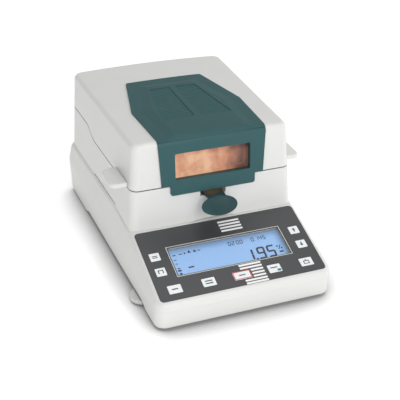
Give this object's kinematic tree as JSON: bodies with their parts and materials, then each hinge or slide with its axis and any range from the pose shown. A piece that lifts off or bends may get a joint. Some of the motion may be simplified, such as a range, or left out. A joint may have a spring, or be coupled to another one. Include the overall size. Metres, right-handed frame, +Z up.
{
  "type": "halogen moisture analyser",
  "caption": "Benchtop moisture analyser: a weighing base with sloped keypad and display, a heated hood with vents and a viewing window, and a lift-out sample dish in a gripper.",
  "frame": {"origin": "middle of the base in plan, on the surface its feet stand on", "axes": "+Z up, the keypad faces -Y, +X to the right as seen from the front"},
  "size_m": [0.24, 0.3646, 0.18],
  "materials": {
    "white_abs": "fine satin grain",
    "teal_abs": "fine satin grain",
    "panel_foil": "dark grey printed polyester, satin",
    "clear_window": "clear gloss",
    "blue_display": "liquid crystal, blue backlight",
    "black_plastic": "satin",
    "smoked_glass": "smoked, polished",
    "clear_glass": "clear, polished",
    "screw_steel": "bright zinc",
    "foot_rubber": "matt",
    "zinc_sheet": "zinc plated",
    "plated_brass": "nickel plated",
    "nickel_shell": "nickel plated",
    "cast_aluminium": "machined",
    "stainless_sheet": "fine brushed",
    "circuit_board": "solder resist",
    "grey_ribbon": "flat cable",
    "level_fluid": "tinted fluid",
    "white_nylon": "nylon",
    "bright_reflector": "polished",
    "quartz_tube": "clear quartz",
    "ceramic": "steatite",
    "dark_teal_abs": "fine satin grain",
    "dish_aluminium": "drawn sheet",
    "key_white_red_frame": "white satin with a printed red frame",
    "key_white": "white satin with a printed sign"
  },
  "bodies": {
    "base": {"upper_housing": "white_abs", "lower_tray": "white_abs", "shell_screws": "screw_steel", "rear_feet": "foot_rubber", "connector_plate": "zinc_sheet", "power_inlet": "black_plastic", "inlet_pins": "plated_brass", "short_screws": "screw_steel", "fuse_cap": "black_plastic", "serial_port": "nickel_shell", "load_cell_bracket": "cast_aluminium", "load_cell": "cast_aluminium", "pan_support": "stainless_sheet", "main_board": "circuit_board", "power_supply": "circuit_board", "board_screws": "screw_steel", "display_board": "circuit_board", "ribbon_cable": "grey_ribbon", "key_switches": "black_plastic", "lcd_module": "black_plastic", "lcd_glass": "blue_display", "display_window": "clear_window", "keypad_foil": "panel_foil", "chamber_tray": "stainless_sheet", "draft_shield": "stainless_sheet", "level_vial": "level_fluid", "level_bezel": "black_plastic", "hood_buffers": "foot_rubber", "hinge_brackets": "zinc_sheet", "hinge_pins": "screw_steel", "hinge_washers": "white_nylon"},
    "hood": {"hood_shell": "white_abs", "hood_cover": "teal_abs", "viewing_window": "smoked_glass", "hood_frame": "zinc_sheet", "hood_screws": "screw_steel", "hood_liner": "stainless_sheet", "protective_glass": "clear_glass", "reflector": "bright_reflector", "halogen_lamps": "quartz_tube", "lamp_sockets": "ceramic", "temperature_probe": "stainless_sheet", "side_grips": "white_abs", "hinge_arms": "zinc_sheet"},
    "gripper": {"gripper_ring": "stainless_sheet", "gripper_handle": "dark_teal_abs", "sample_pan": "dish_aluminium"},
    "key_left_upper": {"key_left_upper": "key_white"},
    "key_left_lower": {"key_left_lower": "key_white"},
    "key_right_upper": {"key_right_upper": "key_white"},
    "key_right_lower": {"key_right_lower": "key_white"},
    "key_row_first": {"key_row_first": "key_white"},
    "key_row_second": {"key_row_second": "key_white"},
    "key_row_middle": {"key_row_middle": "key_white_red_frame"},
    "key_row_fourth": {"key_row_fourth": "key_white"},
    "key_row_last": {"key_row_last": "key_white"},
    "foot_pad_left": {"foot_pad_left": "foot_rubber"},
    "foot_wheel_left": {"foot_wheel_left": "black_plastic"},
    "foot_pad_right": {"foot_pad_right": "foot_rubber"},
    "foot_wheel_right": {"foot_wheel_right": "black_plastic"}
  },
  "joints": [
    {"name": "hood_hinge", "type": "hinge", "parent": "base", "child": "hood", "pos_m": [0, 0.1686, 0.1396], "axis": [-1, 0, 0], "range_deg": [0, 75]},
    {"name": "gripper_lift", "type": "slide", "parent": "base", "child": "gripper", "axis": [0, 0, 1], "range_m": [0, 0.002]},
    {"name": "key_left_upper_press", "type": "slide", "parent": "base", "child": "key_left_upper", "axis": [0, 0.2915, -0.9566], "range_m": [0, 0.0004], "stiffness_N_per_m": 3000},
    {"name": "key_left_lower_press", "type": "slide", "parent": "base", "child": "key_left_lower", "axis": [0, 0.2915, -0.9566], "range_m": [0, 0.0004], "stiffness_N_per_m": 3000},
    {"name": "key_right_upper_press", "type": "slide", "parent": "base", "child": "key_right_upper", "axis": [0, 0.2915, -0.9566], "range_m": [0, 0.0004], "stiffness_N_per_m": 3000},
    {"name": "key_right_lower_press", "type": "slide", "parent": "base", "child": "key_right_lower", "axis": [0, 0.2915, -0.9566], "range_m": [0, 0.0004], "stiffness_N_per_m": 3000},
    {"name": "key_row_first_press", "type": "slide", "parent": "base", "child": "key_row_first", "axis": [0, 0.2915, -0.9566], "range_m": [0, 0.0004], "stiffness_N_per_m": 3000},
    {"name": "key_row_second_press", "type": "slide", "parent": "base", "child": "key_row_second", "axis": [0, 0.2915, -0.9566], "range_m": [0, 0.0004], "stiffness_N_per_m": 3000},
    {"name": "key_row_middle_press", "type": "slide", "parent": "base", "child": "key_row_middle", "axis": [0, 0.2915, -0.9566], "range_m": [0, 0.0004], "stiffness_N_per_m": 3000},
    {"name": "key_row_fourth_press", "type": "slide", "parent": "base", "child": "key_row_fourth", "axis": [0, 0.2915, -0.9566], "range_m": [0, 0.0004], "stiffness_N_per_m": 3000},
    {"name": "key_row_last_press", "type": "slide", "parent": "base", "child": "key_row_last", "axis": [0, 0.2915, -0.9566], "range_m": [0, 0.0004], "stiffness_N_per_m": 3000},
    {"name": "foot_left_extend", "type": "slide", "parent": "base", "child": "foot_pad_left", "axis": [0, 0, -1], "range_m": [0, 0.005]},
    {"name": "foot_left_turn", "type": "hinge", "parent": "foot_pad_left", "child": "foot_wheel_left", "pos_m": [-0.1015, -0.111, 0.004], "axis": [0, 0, -1], "range_deg": [0, 1440]},
    {"name": "foot_right_extend", "type": "slide", "parent": "base", "child": "foot_pad_right", "axis": [0, 0, -1], "range_m": [0, 0.005]},
    {"name": "foot_right_turn", "type": "hinge", "parent": "foot_pad_right", "child": "foot_wheel_right", "pos_m": [0.1015, -0.111, 0.004], "axis": [0, 0, -1], "range_deg": [0, 1440]}
  ],
  "couplings": [
    {"joint": "foot_left_extend", "follows": "foot_left_turn", "m_per_rad": 0.00019894},
    {"joint": "foot_right_extend", "follows": "foot_right_turn", "m_per_rad": 0.00019894}
  ]
}
